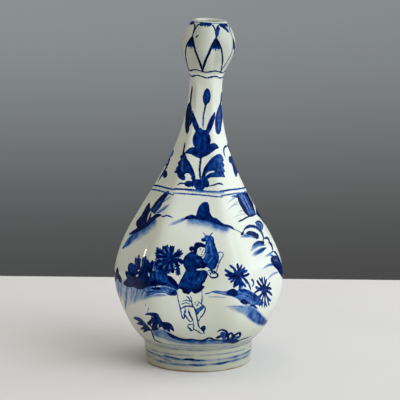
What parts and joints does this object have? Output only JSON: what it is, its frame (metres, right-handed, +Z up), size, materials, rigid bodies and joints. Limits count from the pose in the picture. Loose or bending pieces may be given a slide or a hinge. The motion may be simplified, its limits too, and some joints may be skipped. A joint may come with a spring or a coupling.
{
  "type": "garlic head vase",
  "caption": "Free-standing porcelain bottle vase with a foot ring, a six-sided pear-shaped body, a long neck and a lobed mouth like a head of garlic, painted in blue.",
  "frame": {"origin": "centre of the foot ring, on the surface that the vase stands on", "axes": "+Z up along the body's axis, -Y out of the front panel, +X to the side that the neck leans to"},
  "size_m": [0.1384, 0.1256, 0.2808],
  "materials": {
    "glazed_porcelain": "clear glaze with a grey-blue tint over white porcelain painted in cobalt blue",
    "glazed_foot": "clear glaze over painted blue rings, wiped off the standing edge, which has burnt buff",
    "fired_slip": "fired slip under glaze"
  },
  "bodies": {
    "root": {"foot_ring": "glazed_foot", "base_floor": "glazed_porcelain", "lower_body": "glazed_porcelain", "upper_body": "glazed_porcelain", "neck": "glazed_porcelain", "garlic_head": "glazed_porcelain", "slip_floor": "fired_slip", "slip_foot": "fired_slip", "slip_belly": "fired_slip", "slip_shoulder": "fired_slip", "slip_neck": "fired_slip"}
  },
  "joints": []
}
